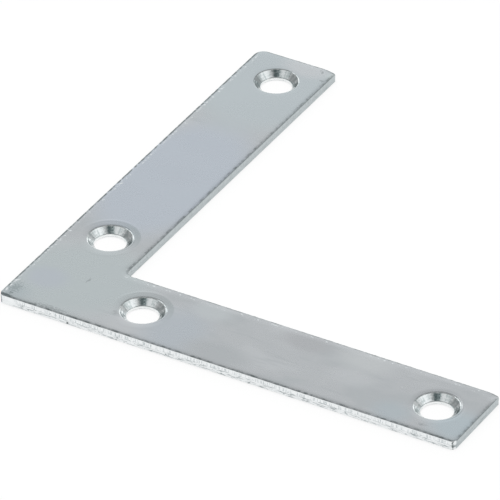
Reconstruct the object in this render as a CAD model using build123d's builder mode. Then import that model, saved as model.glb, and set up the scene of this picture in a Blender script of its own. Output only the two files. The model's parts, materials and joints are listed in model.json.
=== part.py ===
"""Flat corner brace: one flat L of zinc-plated steel with two countersunk screw holes in each arm."""

import os
from math import radians, tan

from build123d import *

os.makedirs("parts", exist_ok=True)

# Driving dimensions of the plate, in millimetres
arm_length = 100.0  # from the outer corner to the end of either arm
arm_width = 17.7
plate_thickness = 2.0

# Corners of the blanked outline
outer_corner_radius = 1.7  # at the corner of the L and on the outer side of each arm end
end_inner_corner_radius = 0.5  # on the inner side of each arm end, where the shear leaves it sharp
notch_radius = 1.8  # in the inside corner between the arms

# Edges as blanking leaves them
top_edge_roll = 0.3  # rounded all the way round the countersunk face
back_edge_break = 0.12  # small flat on the edges of the face that lies on the work

# Screw holes, two on the centre line of each arm
screw_hole_diameter = 6.4
hole_end_distance = 8.6  # from the end of the arm to the centre of its outer hole
hole_spacing = 64.4  # between the two holes of one arm
countersink_diameter = 9.0
countersink_angle = 90.0
countersink_lip_radius = 0.5  # soft lip where the cone meets the face
hole_back_break = 0.2  # small flat where the hole leaves the back

# The origin is where the centre lines of the arms cross, on the face that lies on the work
half_width = arm_width / 2
arm_end = arm_length - half_width
corner_of_l = (-half_width, -half_width)
outer_end_corners = ((arm_end, -half_width), (-half_width, arm_end))
inner_end_corners = ((arm_end, half_width), (half_width, arm_end))
notch_corner = (half_width, half_width)

# Middle of the two holes of an arm, measured along its centre line
hole_row_middle = arm_end - hole_end_distance - hole_spacing / 2
arm_directions = ((1, 0, 0), (0, 1, 0))

# Straight wall left below the cone, which the flat at the back may take up to half of
cone_depth = (countersink_diameter - screw_hole_diameter) / 2 / tan(radians(countersink_angle / 2))
land_height = plate_thickness - cone_depth

with BuildPart() as brace_plate:
    # Flat blank: an L with one vertex for each corner, rounded corner by corner
    with BuildSketch(Plane.XY) as blank:
        with BuildLine():
            Polyline(
                corner_of_l,
                outer_end_corners[0],
                inner_end_corners[0],
                notch_corner,
                inner_end_corners[1],
                outer_end_corners[1],
                close=True,
            )
        make_face()
        for corner in (corner_of_l, *outer_end_corners):
            fillet(blank.vertices().sort_by_distance(corner)[0], radius=outer_corner_radius)
        for corner in inner_end_corners:
            fillet(blank.vertices().sort_by_distance(corner)[0], radius=end_inner_corner_radius)
        fillet(blank.vertices().sort_by_distance(notch_corner)[0], radius=notch_radius)
    extrude(amount=plate_thickness)

    # A row of two countersunk holes down the middle of each arm
    for direction in arm_directions:
        middle = Vector(direction) * hole_row_middle + Vector(0, 0, plate_thickness)
        with Locations(Plane(origin=middle, x_dir=direction, z_dir=(0, 0, 1))):
            with GridLocations(hole_spacing, 0, 2, 1):
                CounterSinkHole(
                    radius=screw_hole_diameter / 2,
                    counter_sink_radius=countersink_diameter / 2,
                    counter_sink_angle=countersink_angle,
                )

    # Rounded edges on the countersunk face: the outline rolls over, and each cone has a soft lip
    fillet(brace_plate.faces().sort_by(Axis.Z)[-1].outer_wire().edges(), radius=top_edge_roll)
    fillet(brace_plate.faces().sort_by(Axis.Z)[-1].inner_wires().edges(), radius=countersink_lip_radius)

    # Small flats on the back: the outline first, then the four holes
    chamfer(brace_plate.faces().sort_by(Axis.Z)[0].outer_wire().edges(), length=back_edge_break)
    hole_exits = brace_plate.faces().sort_by(Axis.Z)[0].inner_wires().edges()
    chamfer(hole_exits, length=min(hole_back_break, land_height / 2))

brace_plate.part.label = "brace_plate"
export_step(brace_plate.part, "parts/brace_plate.step")
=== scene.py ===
"""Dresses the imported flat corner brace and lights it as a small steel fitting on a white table."""

import json
import logging
import math
from dataclasses import dataclass, field
from enum import Enum, IntEnum

import bmesh
import bpy
from mathutils import Matrix, Vector, noise


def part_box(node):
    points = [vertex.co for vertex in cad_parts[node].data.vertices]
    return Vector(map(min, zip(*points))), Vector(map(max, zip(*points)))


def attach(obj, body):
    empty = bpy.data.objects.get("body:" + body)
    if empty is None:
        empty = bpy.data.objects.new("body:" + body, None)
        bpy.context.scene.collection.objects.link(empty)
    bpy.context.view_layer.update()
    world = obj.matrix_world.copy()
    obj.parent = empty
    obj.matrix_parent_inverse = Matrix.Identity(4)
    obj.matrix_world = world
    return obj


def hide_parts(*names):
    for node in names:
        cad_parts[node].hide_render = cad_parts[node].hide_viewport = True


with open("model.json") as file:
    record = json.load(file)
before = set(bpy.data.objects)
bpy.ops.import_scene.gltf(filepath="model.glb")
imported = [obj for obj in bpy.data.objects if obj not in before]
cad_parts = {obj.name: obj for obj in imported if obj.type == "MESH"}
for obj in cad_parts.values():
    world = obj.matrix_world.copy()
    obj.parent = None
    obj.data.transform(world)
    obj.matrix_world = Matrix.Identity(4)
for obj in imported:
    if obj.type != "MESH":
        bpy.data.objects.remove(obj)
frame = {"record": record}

LOG = logging.getLogger("flat_corner_brace")
MM = 0.001  # one millimetre in Blender's metres
WELD_MM = 1e-5  # points nearer than this are one
NODE = "brace_plate"
UP = Vector((0.0, 0.0, 1.0))
SMOOTH = {"interpolation_type": "SMOOTHSTEP"}

Tree = bpy.types.NodeTree
Socket = bpy.types.NodeSocket
Shell = bmesh.types.BMesh


class Finish(IntEnum):
    """The finishes of the plate, in the order of its material slots."""

    FACE = 0
    SLIT_EDGE = 1
    PUNCHED_EDGE = 2
    CONE = 3
    LAND = 4


class Side(Enum):
    """The six straight sides of the L."""

    X_ARM_OUTER = "slit, faces -Y"
    Y_ARM_OUTER = "slit, faces -X"
    X_ARM_END = "punched, faces +X"
    Y_ARM_END = "punched, faces +Y"
    X_ARM_INNER = "punched, faces +Y in the notch"
    Y_ARM_INNER = "punched, faces +X in the notch"


def linear(hex_colour: str) -> tuple[float, float, float, float]:
    """Turns an sRGB hex colour into a linear one.

    Args:
        hex_colour: six hex digits after a hash sign.

    Returns:
        Linear red, green, blue and an alpha of one.
    """
    channels = [int(hex_colour[i : i + 2], 16) / 255 for i in (1, 3, 5)]
    curve = [c / 12.92 if c <= 0.04045 else ((c + 0.055) / 1.055) ** 2.4 for c in channels]
    return (*curve, 1.0)


def towards(azimuth: float, elevation: float) -> Vector:
    """Gives the unit vector from the plate towards a place in the room.

    Args:
        azimuth: degrees from the front (-Y) towards +X.
        elevation: degrees above the table.

    Returns:
        The direction in the part's frame.
    """
    turn, rise = math.radians(azimuth), math.radians(elevation)
    return Vector((math.sin(turn) * math.cos(rise), -math.cos(turn) * math.cos(rise), math.sin(rise)))


def add_node(
    tree: Tree,
    kind: str,
    settings: dict[str, object] | None = None,
    inputs: dict[str | int, object] | None = None,
) -> bpy.types.Node:
    """Adds one node, sets its properties, and fills or links its inputs.

    Args:
        tree: the node tree to add to.
        kind: the node's type, such as "ShaderNodeBump".
        settings: properties of the node by name.
        inputs: values or output sockets, by input name or number.

    Returns:
        The new node.
    """
    node = tree.nodes.new(kind)
    for name, value in (settings or {}).items():
        setattr(node, name, value)
    for key, value in (inputs or {}).items():
        if isinstance(value, Socket):
            tree.links.new(value, node.inputs[key])
        else:
            node.inputs[key].default_value = value
    return node


def blotches(
    tree: Tree,
    place: Socket,
    size_mm: float,
    detail: float = 2.0,
    stretch: tuple[float, float, float] = (1.0, 1.0, 1.0),
) -> Socket:
    """Makes a random pattern whose blotches are about size_mm across.

    Its values lie about one half, nearly all of them between 0.25 and 0.75.

    Args:
        tree: the node tree to add to.
        place: place on the piece, in millimetres.
        size_mm: size of one blotch.
        detail: octaves of finer noise.
        stretch: how many times longer a blotch is along each axis.

    Returns:
        The pattern.
    """
    scale = tuple(1.0 / (size_mm * s) for s in stretch)
    scaled = add_node(tree, "ShaderNodeVectorMath", {"operation": "MULTIPLY"}, {0: place, 1: scale})
    inputs = {"Vector": scaled.outputs[0], "Scale": 1.0, "Detail": detail}
    return add_node(tree, "ShaderNodeTexNoise", None, inputs).outputs["Fac"]


def lay(
    tree: Tree,
    under: Socket | str,
    over: Socket | str,
    value: Socket,
    start: float,
    end: float,
    most: float = 1.0,
) -> Socket:
    """Lays one colour over another where a value has passed from start to end.

    Args:
        tree: the node tree to add to.
        under: socket or hex colour that is covered.
        over: socket or hex colour that covers it.
        value: the value that tells where.
        start: the value up to which nothing is covered.
        end: the value from which it is covered fully.
        most: how much is covered there, from zero to one.

    Returns:
        The mixed colour.
    """
    fade = {"Value": value, "From Min": start, "From Max": end, "To Max": most}
    share = add_node(tree, "ShaderNodeMapRange", SMOOTH, fade)
    lower, upper = (linear(layer) if isinstance(layer, str) else layer for layer in (under, over))
    layers = {"Factor": share.outputs[0], 6: lower, 7: upper}
    return add_node(tree, "ShaderNodeMix", {"data_type": "RGBA"}, layers).outputs[2]


def add_values(tree: Tree, parts: list[tuple[Socket, object]], start: object = 0.0) -> Socket:
    """Sums sockets, each times its own weight.

    Args:
        tree: the node tree to add to.
        parts: pairs of a socket and its weight, which may be a socket too.
        start: a value to add.

    Returns:
        The sum.
    """
    total = start
    for socket, weight in parts:
        inputs = {0: socket, 1: weight, 2: total}
        total = add_node(tree, "ShaderNodeMath", {"operation": "MULTIPLY_ADD"}, inputs).outputs[0]
    return total


@dataclass(frozen=True)
class Mark:
    """A soft patch of another tint, such as a rub, nick or pit, with its sizes in millimetres."""

    x: float
    y: float
    reach_x: float  # before it is turned
    reach_y: float
    turn_deg: float = 0.0
    strength: float = 1.0
    colour: str = "#5A6263"
    broken: float = 1.0  # how much of it is eaten away by fine speckle
    core: float = 0.3  # share of its reach over which it has its full strength
    height: float = 2.0  # of its middle above the back: on the upper face
    depth: float = 1.0  # its reach up and down
    speckle_mm: float = 0.4
    raggedness: float = 3.0  # how far the speckle shifts its border, in shares of its reach

    def cover(self, tree: Tree, place: Socket, tint: Socket) -> Socket:
        """Lays the mark over a colour.

        Args:
            tree: the material's tree.
            place: place on the piece, in millimetres.
            tint: the colour so far.

        Returns:
            The marked colour.
        """
        inputs = {
            "Vector": place,
            "Location": (self.x, self.y, self.height),
            "Rotation": (0.0, 0.0, math.radians(self.turn_deg)),
            "Scale": (self.reach_x, self.reach_y, self.depth),
        }
        local = add_node(tree, "ShaderNodeMapping", {"vector_type": "TEXTURE"}, inputs)
        reach = add_node(tree, "ShaderNodeVectorMath", {"operation": "LENGTH"}, {0: local.outputs[0]})
        speckle = blotches(tree, place, self.speckle_mm)
        eaten = add_values(tree, [(speckle, self.broken)], -0.5 * self.broken)
        value = add_values(tree, [(eaten, self.raggedness)], reach.outputs["Value"])
        return lay(tree, tint, self.colour, value, 1.0, self.core, self.strength)


@dataclass(frozen=True)
class Drift(Mark):
    """A wide drift of tint in the plating, without speckle."""

    broken: float = 0.0
    depth: float = 9.0


@dataclass(frozen=True)
class Metal:
    """What the finishes share: a named metal, drawn by its place on the piece in millimetres."""

    name: str
    marks: tuple[Mark, ...] = ()

    def build(self) -> bpy.types.Material:
        """Makes the material.

        Returns:
            The material.
        """
        material = bpy.data.materials.new(self.name)
        material.use_nodes = True
        tree = material.node_tree
        tree.nodes.clear()
        shader = add_node(tree, "ShaderNodeBsdfPrincipled", None, {"Metallic": 1.0})
        add_node(tree, "ShaderNodeOutputMaterial", None, {"Surface": shader.outputs[0]})
        in_m = add_node(tree, "ShaderNodeTexCoord").outputs["Object"]
        in_mm = add_node(tree, "ShaderNodeVectorMath", {"operation": "SCALE"}, {0: in_m, "Scale": 1.0 / MM})
        place = in_mm.outputs[0]
        tint, roughness, height = self.surface(tree, place)
        for mark in self.marks:
            tint = mark.cover(tree, place, tint)
        # on the face this also lays painted shade round the holes
        tint = self.worn(tree, place, tint)
        bump = add_node(tree, "ShaderNodeBump", None, {"Strength": 1.0, "Distance": MM, "Height": height})
        tree.links.new(tint, shader.inputs["Base Color"])
        tree.links.new(roughness, shader.inputs["Roughness"])
        tree.links.new(bump.outputs[0], shader.inputs["Normal"])
        return material

    def surface(self, tree: Tree, place: Socket) -> tuple[Socket, Socket, Socket]:
        """Draws the surface, which every metal does in its own way.

        Args:
            tree: the material's tree.
            place: place on the piece, in millimetres.

        Returns:
            Its colour, its roughness and its relief in millimetres.
        """
        raise NotImplementedError

    def worn(self, tree: Tree, place: Socket, tint: Socket) -> Socket:
        """Gives the colour with its wear and painted shade, or the same colour for a metal that has none."""
        return tint


@dataclass(frozen=True)
class ZincFace(Metal):
    """Bright zinc plate on cold-rolled strip.

    The eye gets a satin grey that drifts between neutral, a cool blue and a faint green over
    some centimetres, a fine grain left by the rolls, and a darker line beside each side with
    pale flecks inside it.
    """

    name: str = "bright_zinc_on_rolled_steel"
    plain: str = "#C0C4C7"
    pale: str = "#C6CACD"
    deep: str = "#BABFC2"
    # tint of the darker line beside each side
    edge: str = "#7A8284"
    # tint of the painted shade on one side of the pressed trough round the holes
    pressed: str = "#9AA6A7"
    flecked: str = "#DFE5E7"
    drift_mm: float = 9.0
    rolled_mm: float = 1.3
    grain_mm: float = 0.35  # real grain is finer: drawn as coarse as the render can show
    grain_depth_mm: float = 0.0003
    roughness: float = 0.215  # where neither the drift nor the grain adds to it
    drift_roughness: float = 0.08
    grain_roughness: float = 0.03
    patch_mm: float = 1.0  # the dull line beside the sides is broken into patches of this size
    patch_contrast: float = 5.2
    patch_start: float = -1.7
    fleck_mm: float = 0.6
    fleck_help: float = 0.22  # how much more of the pattern shows as flecks where they lie thickest
    fleck_values: tuple[float, float] = (0.72, 0.82)  # pattern values between which a fleck fades in

    def surface(self, tree: Tree, place: Socket) -> tuple[Socket, Socket, Socket]:
        """Draws the drifting grey and its grain.

        Args:
            tree: the material's tree.
            place: place on the piece, in millimetres.

        Returns:
            Its colour, its roughness and its relief.
        """
        drift = blotches(tree, place, self.drift_mm, 3.0, (1.6, 1.0, 1.0))
        tint = lay(tree, self.deep, self.plain, drift, 0.35, 0.5)
        tint = lay(tree, tint, self.pale, drift, 0.5, 0.65)
        rolled = blotches(tree, place, self.rolled_mm, 2.0, (7.0, 1.0, 1.0))
        tint = lay(tree, tint, self.deep, rolled, 0.45, 0.3, 0.7)
        grain = blotches(tree, place, self.grain_mm, 2.0, (4.0, 1.0, 1.0))
        rough = [(drift, self.drift_roughness), (grain, self.grain_roughness)]
        relief = add_values(tree, [(grain, self.grain_depth_mm)])
        return tint, add_values(tree, rough, self.roughness), relief

    def worn(self, tree: Tree, place: Socket, tint: Socket) -> Socket:
        """Lays over the colour what the plate's points say: painted shade in the pressed trough, a darker
        line beside each side, and flecks.

        Args:
            tree: the material's tree.
            place: place on the piece, in millimetres.
            tint: the colour with its marks.

        Returns:
            The colour with its painted shade, its darker lines and its flecks.
        """
        shaded_trough, dull, flecks = (
            add_node(tree, "ShaderNodeAttribute", {"attribute_name": name}).outputs["Fac"]
            for name in ("pressed", "darker_edge", "flecks")
        )
        # painted shade on one side of the pressed trough
        tint = lay(tree, tint, self.pressed, shaded_trough, 0.0, 1.0)
        patches = blotches(tree, place, self.patch_mm, 3.0)
        patchy = add_values(tree, [(patches, self.patch_contrast)], self.patch_start)
        # a darker line beside each side, broken into patches
        tint = lay(tree, tint, self.edge, add_values(tree, [(dull, patchy)]), 0.0, 1.0)
        spots = blotches(tree, place, self.fleck_mm, 3.0)
        spots = add_values(tree, [(flecks, self.fleck_help)], spots)
        return lay(tree, tint, self.flecked, spots, *self.fleck_values)


@dataclass(frozen=True)
class ShearedEdge(Metal):
    """A cut edge under its plate: burnished and dragged above, torn and gritty below, with a few pits."""

    name: str = "sheared_edge"
    bright: str = "#F2F5F6"
    dull: str = "#C2C9CB"
    torn: str = "#9EA6A8"
    pit: str = "#6C7475"
    top: str = "#EDF1F2"  # tint of the last few tenths under the face
    tear_mm: float = 1.0  # height of the line between the burnished and the torn part
    tear_softness_mm: float = 0.1
    wander_mm: float = 3.4  # length over which the tear line wanders up and down
    wander_height_mm: float = 0.8
    gap_mm: float = 0.7  # length of the gaps in the dark line along the tear
    top_mm: tuple[float, float] = (1.55, 1.85)  # heights between which the top's tint fades in
    drag_mm: float = 0.25  # real drag lines and grit are finer: drawn as coarse as the render can show
    streak_mm: float = 0.22
    grit_mm: float = 0.3
    grit_depth_mm: float = 0.02
    roughness: float = 0.30
    grit_roughness: float = 0.12
    torn_roughness: float = 0.06

    def surface(self, tree: Tree, place: Socket) -> tuple[Socket, Socket, Socket]:
        """Draws the burnished part, the torn part below it and the dark line between them.

        Args:
            tree: the material's tree.
            place: place on the piece, in millimetres.

        Returns:
            Its colour, its roughness and its relief.
        """
        height = add_node(tree, "ShaderNodeSeparateXYZ", None, {0: place}).outputs["Z"]
        wander = add_values(tree, [(blotches(tree, place, self.wander_mm), self.wander_height_mm)], height)
        line_mm, soft_mm = self.tear_mm + self.wander_height_mm / 2, self.tear_softness_mm
        fade = {"Value": wander, "From Min": line_mm + soft_mm, "From Max": line_mm - soft_mm}
        below = add_node(tree, "ShaderNodeMapRange", SMOOTH, fade).outputs[0]
        drag = blotches(tree, place, self.drag_mm, 2.0, (1.0, 1.0, 6.0))
        grit = blotches(tree, place, self.grit_mm, 3.0, (1.8, 1.8, 1.0))
        streaks = blotches(tree, place, self.streak_mm, 2.0, (10.0, 10.0, 1.0))
        upper = lay(tree, self.dull, self.bright, drag, 0.3, 0.55)
        lower = lay(tree, self.torn, self.bright, streaks, 0.3, 0.52)
        lower = lay(tree, self.torn, lower, grit, 0.25, 0.45)
        tint = lay(tree, upper, lower, below, 0.0, 1.0)
        # 4 x (1 - x) is one on the tear line, where the share x is a half, and zero off it
        line = add_values(tree, [(below, add_values(tree, [(below, -4.0)], 4.0))])
        gaps = add_values(tree, [(blotches(tree, place, self.gap_mm), line)])
        tint = lay(tree, tint, self.torn, gaps, 0.4, 0.6)
        tint = lay(tree, tint, self.pit, grit, 0.3, 0.22)
        tint = lay(tree, tint, self.top, height, *self.top_mm)
        smoothest = self.roughness - self.grit_roughness / 2
        rough = add_values(tree, [(grit, self.grit_roughness), (below, self.torn_roughness)], smoothest)
        torn_relief = add_values(tree, [(grit, self.grit_depth_mm), (streaks, self.grit_depth_mm)])
        relief = add_values(tree, [(below, torn_relief), (drag, self.grit_depth_mm / 4)])
        return tint, rough, relief


@dataclass(frozen=True)
class PressedCone(Metal):
    """A countersink pressed and then plated: near mirror bright, with rings round it and scores down it."""

    name: str = "pressed_zinc_cone"
    bright: str = "#E9EEEF"
    dull: str = "#C4CDCE"
    # tint of the painted shade: the cones' dark reflections drawn into their colour
    cone_shade: str = "#4B5E61"
    ring_mm: float = 0.45  # real tool marks are finer: drawn as coarse as the render can show
    ring_depth_mm: float = 0.016
    score_mm: float = 0.4
    score_depth_mm: float = 0.004
    mottle_mm: float = 0.9
    mottle_depth_mm: float = 0.01
    ring_wobble: float = 8.0  # how far the mottle bends the rings, in radians
    middle_radius_mm: float = 3.9
    roughness: float = 0.16
    mottle_roughness: float = 0.1

    def surface(self, tree: Tree, place: Socket) -> tuple[Socket, Socket, Socket]:
        """Draws the bright cone with its rings, scores and scuffs.

        Args:
            tree: the material's tree.
            place: place on the piece, in millimetres.

        Returns:
            Draws the bright cone with its rings, its scores and the shade painted on its sides.
        """
        offset = add_node(tree, "ShaderNodeAttribute", {"attribute_name": "from_axis"}).outputs["Vector"]
        level = {0: offset, 1: (1.0, 1.0, 0.0)}
        flat = add_node(tree, "ShaderNodeVectorMath", {"operation": "MULTIPLY"}, level).outputs[0]
        radius = add_node(tree, "ShaderNodeVectorMath", {"operation": "LENGTH"}, {0: flat}).outputs["Value"]
        outward = add_node(tree, "ShaderNodeVectorMath", {"operation": "NORMALIZE"}, {0: flat}).outputs[0]
        circle = {0: outward, "Scale": self.middle_radius_mm}
        round_it = add_node(tree, "ShaderNodeVectorMath", {"operation": "SCALE"}, circle).outputs[0]
        scores = blotches(tree, round_it, self.score_mm)
        mottle = blotches(tree, place, self.mottle_mm)
        turns = add_values(tree, [(radius, math.tau / self.ring_mm), (mottle, self.ring_wobble)])
        rings = add_node(tree, "ShaderNodeMath", {"operation": "SINE"}, {0: turns}).outputs[0]
        worn = add_values(tree, [(scores, 0.45), (mottle, 0.45), (rings, 0.02)])
        tint = lay(tree, self.dull, self.bright, worn, 0.36, 0.52)
        # painted shade: each cone is darkened where it reflects dark surroundings
        right_shade = add_node(tree, "ShaderNodeAttribute", {"attribute_name": "cone_shade"}).outputs["Fac"]
        tint = lay(tree, tint, self.cone_shade, right_shade, 0.0, 1.0)
        smoothest = self.roughness - self.mottle_roughness / 2
        rough = add_values(tree, [(mottle, self.mottle_roughness)], smoothest)
        tooled = [(rings, self.ring_depth_mm / 2), (scores, self.score_depth_mm)]
        return tint, rough, add_values(tree, [*tooled, (mottle, self.mottle_depth_mm)])


@dataclass(frozen=True)
class PhotoCamera:
    """A long lens that looks down on the plate from in front of its corner, at its own tilt."""

    azimuth: float = 30.407
    elevation: float = 33.997
    roll: float = -0.464
    aim_mm: tuple[float, float, float] = (25.205, 28.718, 1.351)
    distance_mm: float = 1603.5
    lens_mm: float = 597.0
    sensor_mm: float = 36.0
    sees_m: tuple[float, float] = (0.01, 20.0)  # nearest and farthest

    def axes(self) -> tuple[Vector, Vector, Vector]:
        """Works out the camera's right, up and backward directions.

        Returns:
            Three unit vectors in the part's frame.
        """
        roll = math.radians(self.roll)
        back = towards(self.azimuth, self.elevation)
        level = towards(self.azimuth + 90.0, 0.0)
        right = math.cos(roll) * level + math.sin(roll) * back.cross(level)
        return right, back.cross(right), back

    def build(self) -> bpy.types.Object:
        """Makes the camera and sets it as the scene's own.

        Returns:
            The camera.
        """
        data = bpy.data.cameras.new("camera")
        data.lens = self.lens_mm
        data.sensor_width = self.sensor_mm
        data.sensor_fit = "HORIZONTAL"
        data.clip_start, data.clip_end = self.sees_m
        data.dof.use_dof = False
        camera = bpy.data.objects.new("camera", data)
        bpy.context.scene.collection.objects.link(camera)
        right, up, back = self.axes()
        turn = Matrix((right, up, back)).transposed().to_4x4()
        place = Vector(self.aim_mm) * MM + back * self.distance_mm * MM
        camera.matrix_world = Matrix.Translation(place) @ turn
        bpy.context.scene.camera = camera
        return camera


@dataclass(frozen=True)
class Outline:
    """The blanked L seen from above: six corners, each with the radius that its tool left."""

    half_width: float
    arm_end: float
    corner_of_l: float = 1.3
    x_end_outer: float = 1.1
    y_end_outer: float = 2.2
    end_inner: float = 0.5
    notch: float = 1.8
    smallest: float = 0.05  # radius kept by a corner that a wide inset would sharpen
    steps_in_corner: int = 14
    steps_in_arm: int = 90  # points along the sides of the arms, and along their ends
    steps_in_end: int = 18
    shortest_end: float = 5.0  # an edge of a loop from this length on is an arm's end
    shortest_arm: float = 40.0  # and from this one on the side of an arm

    def add_loop(self, shell: Shell, inset: float, height: float) -> list[bmesh.types.BMEdge]:
        """Adds the outline as one closed loop of edges.

        Args:
            shell: the mesh to add to.
            inset: how far inside the outline the loop runs, in millimetres.
            height: its height above the back.

        Returns:
            The loop's edges, as many for any inset.
        """
        low, half, end = inset - self.half_width, self.half_width - inset, self.arm_end - inset
        corners = [
            ((low, low), self.corner_of_l - inset),
            ((end, low), self.x_end_outer - inset),
            ((end, half), self.end_inner - inset),
            ((half, half), self.notch + inset),
            ((half, end), self.end_inner - inset),
            ((low, end), self.y_end_outer - inset),
        ]
        known_edges, known_faces = set(shell.edges), set(shell.faces)
        verts = [shell.verts.new((*point, height)) for point, _ in corners]
        shell.faces.new(verts)
        for vert, (_, radius) in zip(verts, corners):
            bmesh.ops.bevel(
                shell, geom=[vert], offset=max(radius, self.smallest), offset_type="OFFSET",
                segments=self.steps_in_corner, profile=0.5, affect="VERTICES", material=-1,
            )
        blanks = [f for f in shell.faces if f not in known_faces]
        bmesh.ops.delete(shell, geom=blanks, context="FACES_ONLY")
        ends = (self.shortest_end, self.shortest_arm, self.steps_in_end)
        arms = (self.shortest_arm, math.inf, self.steps_in_arm)
        for shortest, longest, steps in (ends, arms):
            sides = [e for e in shell.edges if e not in known_edges and shortest < e.calc_length() < longest]
            bmesh.ops.subdivide_edges(shell, edges=sides, cuts=steps)
        return [e for e in shell.edges if e not in known_edges]

    def distances(self, point: Vector) -> dict[Side, float]:
        """Gives how far inside each side a point of the plate lies.

        Args:
            point: a point of the plate.

        Returns:
            The distance to each side, in millimetres.
        """
        half, end = self.half_width, self.arm_end
        x_in, y_in = half + self.notch - point.x, half + self.notch - point.y
        return {
            Side.X_ARM_OUTER: point.y + half,
            Side.Y_ARM_OUTER: point.x + half,
            Side.X_ARM_END: end - point.x,
            Side.Y_ARM_END: end - point.y,
            Side.X_ARM_INNER: math.hypot(max(x_in, 0.0), y_in) - self.notch,
            Side.Y_ARM_INNER: math.hypot(x_in, max(y_in, 0.0)) - self.notch,
        }


@dataclass(frozen=True)
class ScrewHole:
    """A countersunk hole, with the ring, burr and dip that pressing the countersink left in the face.

    Sizes are in millimetres, directions in degrees from +X, and shares go from zero to one.
    """

    centre: tuple[float, float]
    radius: float
    ring: float = 0.0  # height of the faint ring round the countersink
    dip: float = 0.0  # how far the face has been pulled down at the countersink
    burr: float = 0.0  # height of the thin ridge that the tool raised round the right of the rim
    right_shade: float = 0.0  # how dark the painted shade on the right of the cone is
    left_shade: float = 0.0  # and the one on its left
    whole_cone_shade: float = 0.0  # how dark painted shade makes the whole cone
    lip_radius: float = 0.65
    lip_turn: float = 18.0  # degrees from level at which the cone's finish takes over
    ring_radius: float = 6.1
    ring_half_width: float = 0.55
    ring_gap_side: float = 30.0  # the ring fades out in this direction and in the opposite one
    burr_offset: float = 0.1  # distance from the lip out to the burr
    burr_half_width: float = 0.17
    burr_side: float = 20.0
    burr_power: float = 2.0  # the higher a power, the narrower what it shapes
    dip_reach: float = 1.1
    trough_shade_side: float = 45.0  # direction in which painted shade darkens the face inside the ring
    trough_shade_power: float = 3.0
    trough_shade_border: float = 0.2  # how far outside the ring's middle the painted shade ends
    trough_shade_fade: float = 0.5
    fully_shaded_ring: float = 0.04  # height of a ring that would leave the face inside it fully shaded
    # painted shade on the cone: the side each patch lies on and the power that narrows it
    right_shade_side: float = -2.0
    right_shade_power: float = 20.0
    left_shade_side: float = 207.0
    left_shade_power: float = 12.0
    cone_radius: float = 4.5
    cone_slope: float = 45.0  # degrees from level
    back_break: float = 0.2
    pad_radius: float = 6.66  # the round part of the mesh that belongs to the hole ends here
    steps_round: int = 128

    def polar(self, point: Vector) -> tuple[float, float]:
        """Gives a point's distance from the hole's axis and its angle in radians."""
        x, y = point.x - self.centre[0], point.y - self.centre[1]
        return math.hypot(x, y), math.atan2(y, x)

    @property
    def lip_end(self) -> float:
        """The radius at which the lip runs out into the face."""
        return self.cone_radius + self.lip_radius * math.tan(math.radians(self.cone_slope / 2))

    def land_top(self, thickness: float) -> float:
        """Gives the height at which the cone, as deep as it is wide, meets the straight wall."""
        return thickness - (self.cone_radius - self.radius)

    def section(self, thickness: float) -> list[tuple[float, float]]:
        """Draws half the section from the face, down the cone and land, to the back.

        Args:
            thickness: the plate's thickness.

        Returns:
            Points of distance from the axis and height, in millimetres.
        """
        face_steps, lip_steps, cone_steps = 30, 8, 8
        crisp = 0.05  # a loop this near to an edge keeps its shading crisp
        lip_end = self.lip_end
        points = [(self.pad_radius, thickness)]
        for i in range(1, face_steps):
            points.append((self.pad_radius + (lip_end - self.pad_radius) * i / face_steps, thickness))
        for i in range(lip_steps + 1):
            angle = math.radians(90 + self.cone_slope * i / lip_steps)
            across, up = self.lip_radius * math.cos(angle), self.lip_radius * math.sin(angle)
            points.append((lip_end + across, thickness - self.lip_radius + up))
        lip_foot, land_top = Vector(points[-1]), self.land_top(thickness)
        for i in range(1, cone_steps + 1):
            points.append(tuple(lip_foot.lerp(Vector((self.radius, land_top)), i / cone_steps)))
        exit_radius = self.radius + self.back_break
        points += [(self.radius, land_top - crisp), (self.radius, self.back_break + crisp)]
        points += [(self.radius, self.back_break), (exit_radius, 0.0), (exit_radius + 2 * crisp, 0.0)]
        points += [(self.pad_radius - 4 * crisp, 0.0), (self.pad_radius, 0.0)]
        return points

    def cut(self, shell: Shell, thickness: float) -> None:
        """Spins the hole into the shell and shapes the ring, the burr and the dip round it.

        Args:
            shell: the mesh to add to.
            thickness: the plate's thickness.
        """
        known = set(shell.verts)
        axis = Vector((*self.centre, 0.0))
        verts = [shell.verts.new(axis + Vector((r, 0.0, z))) for r, z in self.section(thickness)]
        edges = [shell.edges.new(pair) for pair in zip(verts, verts[1:])]
        bmesh.ops.spin(
            shell, geom=verts + edges, cent=axis, axis=UP, angle=math.tau, steps=self.steps_round,
            use_merge=True, use_duplicate=False,
        )
        land_top = self.land_top(thickness)
        for vert in [v for v in shell.verts if v not in known and v.co.z > land_top]:
            share = (vert.co.z - land_top) / (thickness - land_top)
            vert.co.z += self.relief(vert.co) * share

    def relief(self, point: Vector) -> float:
        """Gives how far a point of the face is raised.

        Args:
            point: a point of the face.

        Returns:
            The height in millimetres, below zero where the face is pulled down.
        """
        radius, angle = self.polar(point)
        off_ring = min(1.0, abs(radius - self.ring_radius) / self.ring_half_width)
        turned = math.sin(angle - math.radians(self.ring_gap_side))
        far_share = 0.7 + 0.3 * turned  # the ring is whole on the far side, and fainter on the near one
        raised = self.ring * (0.5 + 0.5 * math.cos(math.pi * off_ring)) * turned**2 * far_share
        off_burr = min(1.0, abs(radius - self.lip_end - self.burr_offset) / self.burr_half_width)
        here = self.towards_side(point, self.burr_side, self.burr_power)
        raised += self.burr * (0.5 + 0.5 * math.cos(math.pi * off_burr)) * here
        pulled = min(1.0, max(0.0, (self.lip_end + self.dip_reach - radius) / self.dip_reach))
        return raised - self.dip * pulled * pulled

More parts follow.
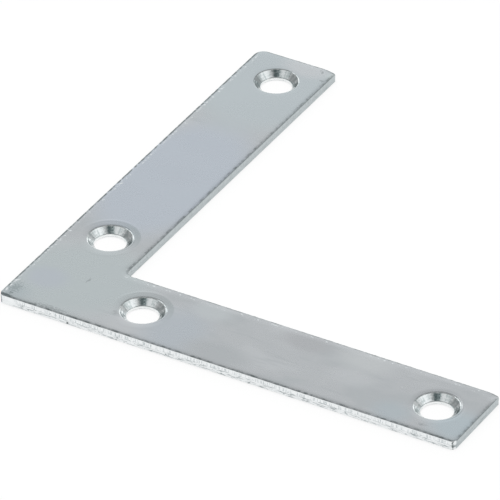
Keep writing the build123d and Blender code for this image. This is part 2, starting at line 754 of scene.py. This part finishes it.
    def trough_shade(self, point: Vector) -> float:
        """Tells how dark the painted shade inside the ring is.

        Args:
            point: a point of the plate.

        Returns:
            The shade, from zero to one.
        """
        radius, _ = self.polar(point)
        share = min(1.0, max(0.0, (self.ring_radius + self.trough_shade_border - radius) / self.trough_shade_fade))
        inside = share * share * (3.0 - 2.0 * share)
        shade_strength = self.ring / self.fully_shaded_ring
        return shade_strength * self.towards_side(point, self.trough_shade_side, self.trough_shade_power) * inside

    def cone_shade(self, point: Vector) -> float:
        """Tells how dark the shade painted on the cone is.

        Args:
            point: a point of the plate.

        Returns:
            The darkness, from zero to one.
        """
        right = self.right_shade * self.towards_side(point, self.right_shade_side, self.right_shade_power)
        left = self.left_shade * self.towards_side(point, self.left_shade_side, self.left_shade_power)
        return max(self.whole_cone_shade, right, left)

    def towards_side(self, point: Vector, side: float, power: float) -> float:
        """Tells how much a point lies on one side of the hole, from zero to one."""
        _, angle = self.polar(point)
        return (0.5 + 0.5 * math.cos(angle - math.radians(side))) ** power


@dataclass(frozen=True)
class Wear:
    """How one side's upper edge came out of the press, and the darker line beside it, in millimetres."""

    reach: float  # how far inside the side the face starts to sag
    sag: float  # how deep it has sagged at the side
    power: float  # how late it sags
    dull: float  # how much darker the face is along the side, from zero to one
    darkening_reach: float
    flecks: float = 0.0  # how thickly pale flecks lie inside the dull line, from zero to one
    darkening_fade: float = 0.4  # share of its reach over which the darkening fades out
    flecks_inside: float = 0.8  # distance inside the side at which the flecks lie thickest
    flecks_reach: float = 0.6

    def drop(self, inside: float) -> float:
        """Gives the sag at a distance inside the side."""
        return self.sag * max(0.0, 1.0 - inside / self.reach) ** self.power

    def edge_darkening(self, inside: float) -> float:
        """Gives how much darker the face is at a distance inside the side."""
        return self.dull * min(1.0, max(0.0, 1.0 - inside / self.darkening_reach) / self.darkening_fade)

    def fleckiness(self, inside: float) -> float:
        """Gives how thickly the flecks lie at a distance inside the side."""
        return self.flecks * max(0.0, 1.0 - abs(inside - self.flecks_inside) / self.flecks_reach)


@dataclass
class BracePlate:
    """The one-piece L of steel, in millimetres, with its origin where the arms' centre lines cross."""

    outline: Outline
    thickness: float
    holes: list[ScrewHole]
    edge_radius: float = 0.05
    tear_height: float = 0.95  # the wall steps back by tear_depth below this
    tear_depth: float = 0.03
    tear_half_height: float = 0.1
    back_break: float = 0.06
    steepest_face: float = 52.0  # degrees from level at which the wall's finish takes over
    steepest_cone: float = 60.0  # and the land's inside a hole
    steepest_wall: float = 120.0  # steeper faces belong to the back
    wall_reach: float = 0.8  # the faces of a wall lie no further than this inside their side
    tip_sag: float = 0.5  # the sharp corners of the arm ends are bent down this much
    tip_reach: float = 2.6  # ends before the flat of the face, which starts 1.85 mm from either side
    tip_power: float = 1.5
    unevenness: float = 0.75  # how unevenly the sides sag along their length
    uneven_mm: float = 1.1
    wear: dict[Side, Wear] = field(
        default_factory=lambda: {
            Side.X_ARM_OUTER: Wear(1.85, 0.095, 3.5, 0.5, 0.65),
            Side.Y_ARM_OUTER: Wear(1.6, 0.08, 3.5, 1.0, 0.5, 1.0),
            Side.X_ARM_END: Wear(1.6, 0.085, 3.5, 0.3, 0.6),
            Side.Y_ARM_END: Wear(1.5, 0.04, 2.2, 0.6, 0.35, 0.6),
            Side.X_ARM_INNER: Wear(1.8, 0.075, 2.0, 0.5, 0.35, 0.75),
            Side.Y_ARM_INNER: Wear(1.5, 0.1, 3.5, 0.35, 0.6),
        }
    )

    @classmethod
    def from_frame(cls, record: dict) -> "BracePlate":
        """Takes the plate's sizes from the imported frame.

        Args:
            record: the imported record, whose bore mounts are the screw holes.

        Returns:
            The plate.
        """
        low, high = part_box(NODE)
        # the entries for shade on the cones paint their dark reflections into the colour
        pressed = {
            "x_arm_inner_hole": {"ring": 0.018, "dip": 0.045, "burr": 0.03, "right_shade": 0.79},
            "x_arm_outer_hole": {"dip": 0.05, "burr": 0.04, "right_shade": 0.84},
            "y_arm_inner_hole": {"ring": 0.02, "dip": 0.045, "burr": 0.03, "right_shade": 1.0},
            "y_arm_outer_hole": {
                "dip": 0.015, "right_shade": 0.33, "left_shade": 0.6, "whole_cone_shade": 0.16, "lip_radius": 0.5
            },
        }
        holes = []
        for mount in record["mounts"]:
            if mount["kind"] == "bore":
                x, y, _ = mount["pos_m"]
                holes.append(ScrewHole((x / MM, y / MM), mount["dims"]["r_mm"], **pressed[mount["name"]]))
        outline = Outline(half_width=-low.x / MM, arm_end=high.x / MM)
        return cls(outline, (high.z - low.z) / MM, holes)

    def edge_section(self) -> list[tuple[float, float]]:
        """Draws the plate's edge from the flat of the face, over the rounding, down the wall, to the back.

        Returns:
            Points of inset from the outline and height, in millimetres.
        """
        top, round_off, sag_steps, round_steps = self.thickness, self.edge_radius, 13, 8
        under_roll, over_break = 0.15, 0.04  # loops this near to the edges keep their shading crisp
        sag_reach = max(wear.reach for wear in self.wear.values())
        section = []
        for i in range(sag_steps):
            section.append((sag_reach + (round_off - sag_reach) * i / sag_steps, top))
        for i in range(round_steps + 1):
            angle = math.radians(90.0 * i / round_steps)
            section.append((round_off * (1 - math.sin(angle)), top - round_off * (1 - math.cos(angle))))
        tear, half, foot, back = self.tear_height, self.tear_half_height, self.back_break, self.tear_depth
        section += [(0.0, top - round_off - under_roll), (0.0, tear + half), (back, tear - half)]
        section += [(back, foot + over_break), (back, foot), (back + foot, 0.0)]
        return section

    def sag_at(self, point: Vector) -> float:
        """Gives how far the face has been pulled down beside the sides and at the tips.

        Args:
            point: a point of the face.

        Returns:
            The depth in millimetres.
        """
        inside = self.outline.distances(point)
        uneven = 1.0 + self.unevenness * noise.noise(point.xy.to_3d() / self.uneven_mm)
        drops = [uneven * wear.drop(inside[side]) for side, wear in self.wear.items()]
        half, end = self.outline.half_width, self.outline.arm_end
        for tip in (Vector((end, half)), Vector((half, end))):
            near_tip = max(0.0, 1.0 - (point.xy - tip).length / self.tip_reach)
            drops.append(self.tip_sag * near_tip**self.tip_power)
        return math.hypot(*drops)

    def rounded_shell(self) -> Shell:
        """Joins the outline's loops into the plate's edge, open at its two flat faces.

        The loops are joined while they stand a millimetre apart, and then take their heights.

        Returns:
            The open shell, in millimetres.
        """
        shell = bmesh.new()
        section = self.edge_section()
        loops = [self.outline.add_loop(shell, inset, -i) for i, (inset, _) in enumerate(section)]
        for upper, lower in zip(loops, loops[1:]):
            bmesh.ops.bridge_loops(shell, edges=upper + lower)
        for vert in shell.verts:
            _, height = section[round(-vert.co.z)]
            share = max(0.0, (height - self.tear_height) / (self.thickness - self.tear_height))
            vert.co.z = height - self.sag_at(vert.co) * share
        return shell

    def close_faces(self, shell: Shell) -> None:
        """Fills the two flat faces between the outline and the holes.

        Args:
            shell: the mesh whose flat borders are open.
        """
        level = 0.01  # a border lies within this of its face
        for height in (0.0, self.thickness):
            border = [e for e in shell.edges if e.is_boundary and abs(e.verts[0].co.z - height) < level]
            bmesh.ops.triangle_fill(shell, edges=border, use_beauty=True, use_dissolve=False, normal=UP)

    def nearest_hole(self, point: Vector) -> ScrewHole:
        """Gives the hole whose axis is nearest to a point."""
        return min(self.holes, key=lambda hole: hole.polar(point)[0])

    def finish_at(self, face: bmesh.types.BMFace) -> Finish:
        """Tells which finish a face of the plate has.

        Args:
            face: a face of the mesh, in millimetres.

        Returns:
            Its finish.
        """
        middle = face.calc_center_median()
        steep = math.degrees(face.normal.angle(UP, 0.0))
        hole = self.nearest_hole(middle)
        if hole.polar(middle)[0] < hole.cone_radius + hole.lip_radius:
            if steep < hole.lip_turn or steep > self.steepest_wall:
                return Finish.FACE
            return Finish.CONE if steep < self.steepest_cone else Finish.LAND
        if steep > self.steepest_wall or steep < self.steepest_face:
            return Finish.FACE
        inside = self.outline.distances(middle)
        on_slit_side = min(inside[Side.X_ARM_OUTER], inside[Side.Y_ARM_OUTER]) < self.wall_reach
        return Finish.SLIT_EDGE if on_slit_side else Finish.PUNCHED_EDGE

    def dress(self, shell: Shell) -> None:
        """Gives each face its finish and each point what the finishes read.

        Args:
            shell: the closed plate, in millimetres.
        """
        dull, flecks, pressed, cone_shade = (
            shell.verts.layers.float.new(name) for name in ("darker_edge", "flecks", "pressed", "cone_shade")
        )
        from_axis = shell.verts.layers.float_vector.new("from_axis")
        for vert in shell.verts:
            hole, inside = self.nearest_hole(vert.co), self.outline.distances(vert.co)
            if vert.co.z > self.tear_height:  # the back gets neither the darker line nor the flecks
                vert[dull] = max(wear.edge_darkening(inside[side]) for side, wear in self.wear.items())
                vert[flecks] = max(wear.fleckiness(inside[side]) for side, wear in self.wear.items())
            # painted shade on one side of the trough round each hole
            vert[pressed] = hole.trough_shade(vert.co)
            # painted shade on the cones
            vert[cone_shade] = hole.cone_shade(vert.co)
            vert[from_axis] = vert.co - Vector((*hole.centre, 0.0))
        for face in shell.faces:
            face.smooth = len(face.verts) > 3  # the triangles that close the two faces lie flat
            face.material_index = self.finish_at(face)

    def build(self, materials: dict[Finish, bpy.types.Material]) -> bpy.types.Object:
        """Makes the dressed plate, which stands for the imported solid.

        Args:
            materials: the material of each finish.

        Returns:
            The plate's object.
        """
        shell = self.rounded_shell()
        for hole in self.holes:
            hole.cut(shell, self.thickness)
        self.close_faces(shell)
        bmesh.ops.remove_doubles(shell, verts=shell.verts, dist=WELD_MM)
        bmesh.ops.recalc_face_normals(shell, faces=shell.faces)
        self.dress(shell)
        open_edges = sum(not e.is_manifold for e in shell.edges)
        bmesh.ops.scale(shell, verts=shell.verts, vec=(MM, MM, MM))
        mesh = bpy.data.meshes.new("dressed_brace_plate")
        for finish in Finish:
            mesh.materials.append(materials[finish])
        shell.to_mesh(mesh)
        shell.free()
        plate = bpy.data.objects.new("dressed_brace_plate", mesh)
        bpy.context.scene.collection.objects.link(plate)
        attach(plate, "root")
        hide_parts(NODE)
        LOG.info("the plate has %d faces and %d open edges", len(mesh.polygons), open_edges)
        return plate


@dataclass(frozen=True)
class WhiteTable:
    """A plain white table top that runs out of sight and keeps the plate's soft shadow."""

    size_m: float = 6.0
    below_mm: float = 0.02  # keeps the table top out of the plane of the plate's back
    shadow_share: float = 0.2  # how much of the plate's shadow the camera sees
    paper: float = 0.9  # share of the light that the paper throws back

    def build(self) -> bpy.types.Object:
        """Makes the table.

        Returns:
            The table.
        """
        top = bmesh.new()
        bmesh.ops.create_grid(top, x_segments=1, y_segments=1, size=self.size_m / 2)
        mesh = bpy.data.meshes.new("table")
        top.to_mesh(mesh)
        top.free()
        table = bpy.data.objects.new("table", mesh)
        table.location.z = -self.below_mm * MM
        bpy.context.scene.collection.objects.link(table)
        mesh.materials.append(self.material())
        return table

    def material(self) -> bpy.types.Material:
        """Makes matt white paper that the camera and the metal both see as white.

        Returns:
            The material.
        """
        material = bpy.data.materials.new("white_paper")
        material.use_nodes = True
        tree = material.node_tree
        tree.nodes.clear()
        paper = add_node(tree, "ShaderNodeBsdfDiffuse", None, {"Color": (*[self.paper] * 3, 1.0)})
        white = add_node(tree, "ShaderNodeEmission", None, {"Color": (1.0, 1.0, 1.0, 1.0), "Strength": 1.0})
        path = add_node(tree, "ShaderNodeLightPath")
        seen = 0.0
        for ray in ("Is Camera Ray", "Is Glossy Ray", "Is Transmission Ray"):
            either = {0: path.outputs[ray], 1: seen}
            seen = add_node(tree, "ShaderNodeMath", {"operation": "MAXIMUM"}, either).outputs[0]
        share = add_values(tree, [(seen, 1.0 - self.shadow_share)])
        shaders = {0: share, 1: paper.outputs[0], 2: white.outputs[0]}
        mixed = add_node(tree, "ShaderNodeMixShader", None, shaders)
        add_node(tree, "ShaderNodeOutputMaterial", None, {"Surface": mixed.outputs[0]})
        return material


@dataclass(frozen=True)
class Glow:
    """A soft patch of the room, brighter or darker than the rest."""

    azimuth: float
    elevation: float
    inner: float  # degrees from its middle out to which it has its full strength
    outer: float  # and where it has faded out
    strength: float

    def shade(self, tree: Tree, direction: Socket) -> Socket:
        """Adds the patch's strength in each direction.

        Args:
            tree: the world's tree.
            direction: the direction that is looked in.

        Returns:
            The strength, fading out with the angle from the patch's middle.
        """
        both = {0: direction, 1: towards(self.azimuth, self.elevation)}
        facing = add_node(tree, "ShaderNodeVectorMath", {"operation": "DOT_PRODUCT"}, both)
        fade = {
            "Value": facing.outputs["Value"],
            "From Min": math.cos(math.radians(self.outer)),
            "From Max": math.cos(math.radians(self.inner)),
            "To Max": self.strength,
        }
        return add_node(tree, "ShaderNodeMapRange", SMOOTH, fade).outputs[0]


@dataclass(frozen=True)
class Studio:
    """A pale room with two soft boxes, a white wall behind, a dark gap at the camera, and a lamp above."""

    room: float = 0.37
    glows: tuple[Glow, ...] = (
        Glow(109, 41, 10, 40, 0.68),  # soft box on the right
        Glow(-30, 50, 10, 35, 0.42),  # soft box on the left
        Glow(-150, 10, 6, 48, 0.67),  # bright wall behind the table
        Glow(158, 8, 5, 34, 0.22),  # its dimmer end
        Glow(179, 12, 4, 13, 0.65),  # small lamp that glints in the rims
        Glow(-126, 26, 3, 9, 1.0),  # strip light that shows as a thin arc in the rims
        Glow(-119, 38, 3, 9, 1.0),
        Glow(-113, 50, 3, 9, 1.0),
    )
    gap: Glow = Glow(29, 56, 2, 20, -0.6)
    gap_colour: str = "#DAF0F2"
    lamp_watts: float = 9.0
    lamp_size_m: float = 0.8
    lamp_place_m: tuple[float, float, float] = (0.03, 0.03, 1.2)

    def build(self) -> bpy.types.Object:
        """Makes the world and the lamp.

        Returns:
            The lamp.
        """
        world = bpy.data.worlds.new("room")
        world.use_nodes = True
        tree = world.node_tree
        tree.nodes.clear()
        direction = add_node(tree, "ShaderNodeTexCoord").outputs["Generated"]
        light = add_values(tree, [(glow.shade(tree, direction), 1.0) for glow in self.glows], self.room)
        gap = self.gap.shade(tree, direction)
        light = add_values(tree, [(gap, light)], light)
        colour = lay(tree, "#FFFFFF", self.gap_colour, gap, 0.0, self.gap.strength)
        background = add_node(tree, "ShaderNodeBackground", None, {"Color": colour, "Strength": light})
        add_node(tree, "ShaderNodeOutputWorld", None, {"Surface": background.outputs[0]})
        bpy.context.scene.world = world
        bpy.context.scene.view_settings.view_transform = "Standard"
        data = bpy.data.lights.new("overhead_lamp", "AREA")
        data.shape = "SQUARE"
        data.size = self.lamp_size_m
        data.energy = self.lamp_watts
        lamp = bpy.data.objects.new("overhead_lamp", data)
        bpy.context.scene.collection.objects.link(lamp)
        lamp.location = self.lamp_place_m
        lamp.visible_glossy = False  # it stands for light from all round, which shows no lamp in metal
        return lamp


DRIFTS = (
    Drift(0, 42, 15, 27, 0, 1.0, "#BFC7D0", core=0.6),  # blue in the y arm
    Drift(0, 86, 20, 28, 0, 1.0, "#C0C9CD", core=0.6),  # paler towards its end
    Drift(2, 3, 19, 16, 25, 0.9, "#BFC8CA", core=0.5),  # green at the corner
    Drift(27, -3, 9, 11, 0, 0.8, "#BBC3CA"),  # blue in the x arm
    Drift(64, 6, 9, 5, 0, 0.8, "#CBCFD1", core=0.2),  # pale beside its notch side
    Drift(64, 0, 7, 4, 0, 0.6, "#CACED1", core=0.2),
    Drift(30, 6, 6, 4, 0, 0.8, "#C6CCCF"),
    Drift(51, 6, 8, 4, 0, 0.9, "#B8BBBE"),  # darker beside it
    Drift(38, -5.5, 10, 5, 0, 0.9, "#B8BDC0"),  # and beside its slit side
    Drift(-3.5, 0.5, 6, 5, 0, 0.7, "#BCC3CC"),  # blue at the corner
    Drift(3, 89.5, 7.5, 4.5, 0, 0.8, "#CDD1D4"),  # pale beside the y arm's end
    Drift(10.5, 90, 3.5, 4, 0, 0.8, "#B2BCBA"),  # green at the far tip
    Drift(89, -4, 8, 7, 0, 0.9, "#BBC7CD"),  # blue at the x arm's end
    Drift(76, -6, 6, 5, 0, 0.7, "#B8C3C9", core=0.2),
    Drift(-6.5, -6.5, 5, 4, 0, 0.6, "#B2BDC1", core=0.2),  # dull at the corner
)
RUBS = (
    Mark(-7.1, -5.5, 1.7, 2.3, 0, 0.45, "#7E8A8C", 1.3, 0.2),  # dull corner of the L
    Mark(-6.9, -7.3, 0.55, 0.5, 0, 0.55, "#717D7F", 0.6),  # darker spot in it
    Mark(-7.5, -8.3, 1.8, 0.5, 0, 0.8, "#4E5C5D", 0.5),  # dark line in it
    Mark(-8.3, -6.6, 0.4, 0.6, 15, 0.9, "#E6EAEC", 0.6),  # pale flecks along the y arm's side
    Mark(-8.25, -5, 0.3, 0.5, 0, 0.9, "#E2E7E9", 0.6),
    Mark(-8.2, -3.2, 0.35, 0.7, -10, 0.9, "#E0E5E7", 0.8),
    Mark(-8.25, -1.2, 0.3, 0.5, 0, 0.7, "#DCE2E4", 0.8),
    Mark(2.2, -8, 3.8, 0.7, 0, 0.4, "#80888A", 1.3),  # scuffs beside the slit side
    Mark(3.95, 3.6, 0.9, 0.3, 84, 0.35),  # short scratch near the notch
    Mark(14, -3.2, 0.7, 1.1, 40, 0.22),  # rub beside the inner hole of the x arm
    Mark(6.4, 89.8, 0.8, 0.4, 120, 0.4),  # two specks near the end of the y arm
    Mark(7.9, 87, 0.7, 0.35, 31, 0.4),
    Mark(83, -6.8, 1.2, 0.5, 10, 0.25),  # rub beside the outer hole of the x arm
)
NICKS = (
    Mark(-6.6, -8.85, 2.2, 0.7, 0, 0.85, "#F4F7F8", 0.3, 0.6, height=0.9, depth=1.3),  # clean by the corner
    Mark(-8.55, -8.4, 0.62, 0.62, 0, 0.9, "#5E6668", 0.3, 0.6, height=0.9, depth=2.2),  # darker corner of the wall, partly painted contact shadow along its foot
    Mark(6.67, -8.85, 0.4, 0.4, height=0.3, depth=0.32),  # pit near the corner of the L
    Mark(90.7, -8.6, 0.28, 0.28, 0, 0.9, height=1.0, depth=1.2),  # drag mark down the arm's corner
)


def main() -> None:
    """Builds the camera, the table, the light and the dressed plate, in that order, and reports each."""
    logging.basicConfig(level=logging.INFO, format="%(name)s: %(message)s")
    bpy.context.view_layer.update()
    camera = PhotoCamera().build()
    table = WhiteTable().build()
    lamp = Studio().build()
    materials = {
        Finish.FACE: ZincFace(marks=DRIFTS + RUBS).build(),
        Finish.SLIT_EDGE: ShearedEdge("slit_edge", NICKS).build(),
        # a darker copy of the cut edge: painted shade on the sides that face away from the light
        Finish.PUNCHED_EDGE: ShearedEdge(
            "punched_edge_in_painted_shade", bright="#BCC4C6", dull="#ACB4B6", torn="#A6AEAF", pit="#959D9E", top="#7D8688",
            grit_depth_mm=0.015,
        ).build(),
        Finish.CONE: PressedCone().build(),
        # a near-white copy of the cut edge: painted brightness of the white table that the land reflects
        Finish.LAND: ShearedEdge("punched_land_painted_bright", bright="#F8FAFA", dull="#E6EBEB", torn="#DCE2E2").build(),
    }
    plate = BracePlate.from_frame(frame["record"]).build(materials)
    for piece in (camera, table, lamp, plate):
        LOG.info("%s is in place", piece.name)


if __name__ == "__main__":
    main()
